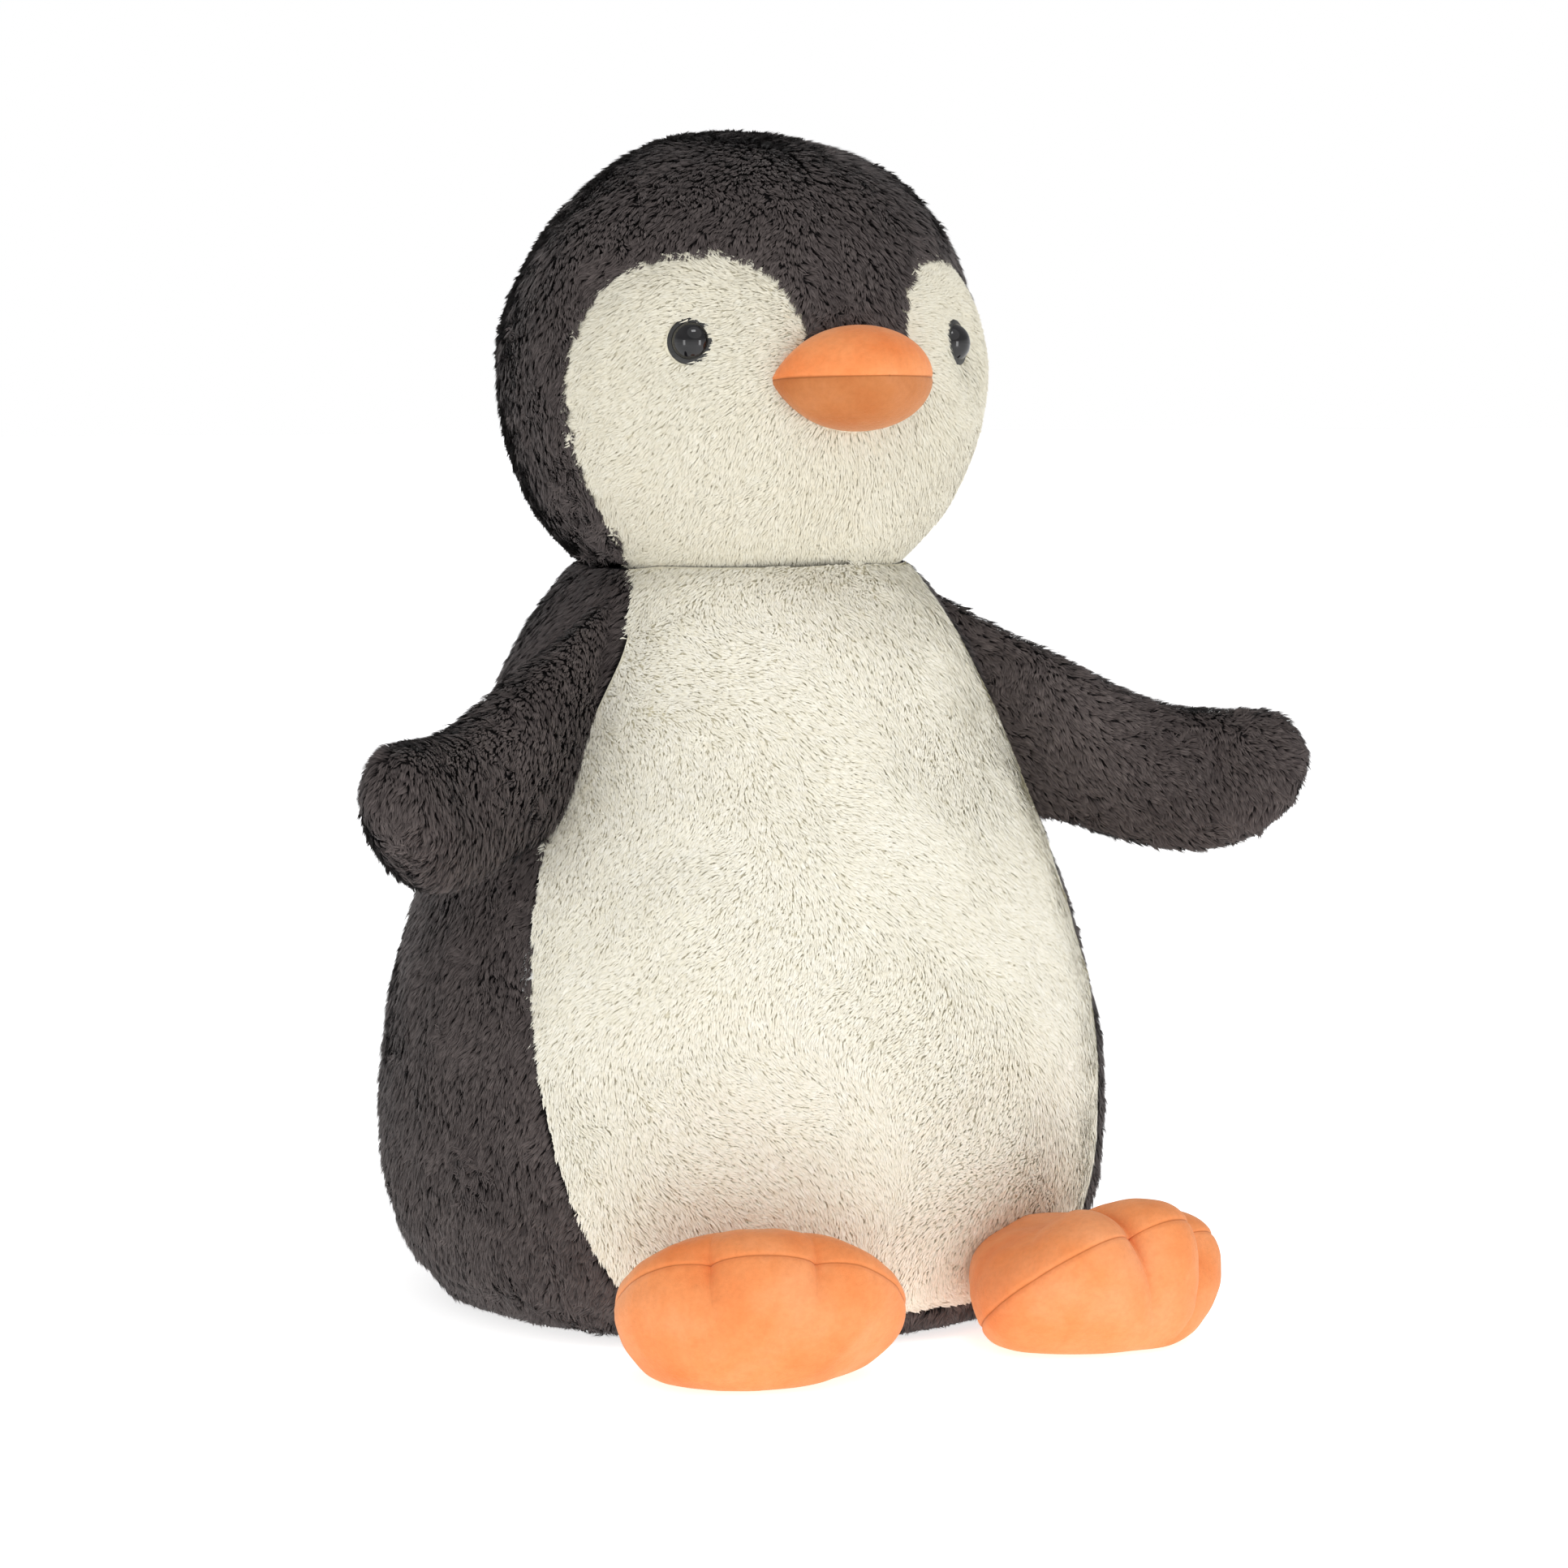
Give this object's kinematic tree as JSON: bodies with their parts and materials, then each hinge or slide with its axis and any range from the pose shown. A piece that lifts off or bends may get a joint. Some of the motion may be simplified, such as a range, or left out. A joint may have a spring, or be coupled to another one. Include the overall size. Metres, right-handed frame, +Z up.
{
  "type": "plush penguin",
  "caption": "Seated plush penguin with a round head that turns, outstretched flippers, a soft beak and lobed feet, sewn from pile and suede cloth panels.",
  "frame": {"origin": "middle of the flat base, on the surface that the toy sits on", "axes": "+Z up, -Y the way the penguin faces, +X the penguin's left"},
  "size_m": [0.4484, 0.3797, 0.501],
  "materials": {
    "dark_pile": "short charcoal-brown plush pile",
    "cream_pile": "short cream plush pile",
    "orange_suede": "fine brushed suede cloth",
    "fibre_fill": "loose white fibre",
    "pellet_cloth": "plain woven lining filled with pellets",
    "eye_black": "polished",
    "washer_plastic": "moulded"
  },
  "bodies": {
    "body": {"belly_panel": "cream_pile", "back_panel_left": "dark_pile", "back_panel_right": "dark_pile", "base_panel": "dark_pile", "body_stuffing": "fibre_fill", "bean_pouch": "pellet_cloth"},
    "neck": {"neck_stuffing": "fibre_fill"},
    "head": {"head_panel_left": "dark_pile", "head_panel_right": "dark_pile", "face_panel": "cream_pile", "head_stuffing": "fibre_fill", "beak_upper_panel": "orange_suede", "beak_lower_panel": "orange_suede", "beak_stuffing": "fibre_fill", "eye_left": "eye_black", "eye_right": "eye_black", "eye_washer_left": "washer_plastic", "eye_washer_right": "washer_plastic"},
    "flipper_left": {"flipper_left_front_panel": "dark_pile", "flipper_left_back_panel": "dark_pile", "flipper_left_stuffing": "fibre_fill"},
    "flipper_right": {"flipper_right_front_panel": "dark_pile", "flipper_right_back_panel": "dark_pile", "flipper_right_stuffing": "fibre_fill"},
    "foot_left": {"foot_left_top_panel": "orange_suede", "foot_left_sole_panel": "orange_suede", "foot_left_stuffing": "fibre_fill"},
    "foot_right": {"foot_right_top_panel": "orange_suede", "foot_right_sole_panel": "orange_suede", "foot_right_stuffing": "fibre_fill"}
  },
  "joints": [
    {"name": "head_turn", "type": "hinge", "parent": "body", "child": "neck", "pos_m": [0, 0, 0.3175], "axis": [0, 0, 1], "range_deg": [-20, 20], "stiffness_Nm_per_rad": 2},
    {"name": "head_nod", "type": "hinge", "parent": "neck", "child": "head", "pos_m": [0, 0, 0.3175], "axis": [1, 0, 0], "range_deg": [-6, 6], "stiffness_Nm_per_rad": 12},
    {"name": "flipper_left_swing", "type": "hinge", "parent": "body", "child": "flipper_left", "pos_m": [0.10879, -0.04637, 0.25], "axis": [0.4078, -0.1108, -0.9063], "range_deg": [-40, 30], "stiffness_Nm_per_rad": 1},
    {"name": "flipper_right_swing", "type": "hinge", "parent": "body", "child": "flipper_right", "pos_m": [-0.10879, -0.04637, 0.25], "axis": [0.4078, 0.1108, 0.9063], "range_deg": [-40, 30], "stiffness_Nm_per_rad": 1},
    {"name": "foot_left_lift", "type": "hinge", "parent": "body", "child": "foot_left", "pos_m": [0.07118, -0.15987, 0.0235], "axis": [-0.9135, -0.4067, 0], "range_deg": [0, 35], "stiffness_Nm_per_rad": 0.5},
    {"name": "foot_right_lift", "type": "hinge", "parent": "body", "child": "foot_right", "pos_m": [-0.07118, -0.15987, 0.0235], "axis": [-0.9135, 0.4067, 0], "range_deg": [0, 35], "stiffness_Nm_per_rad": 0.5}
  ]
}
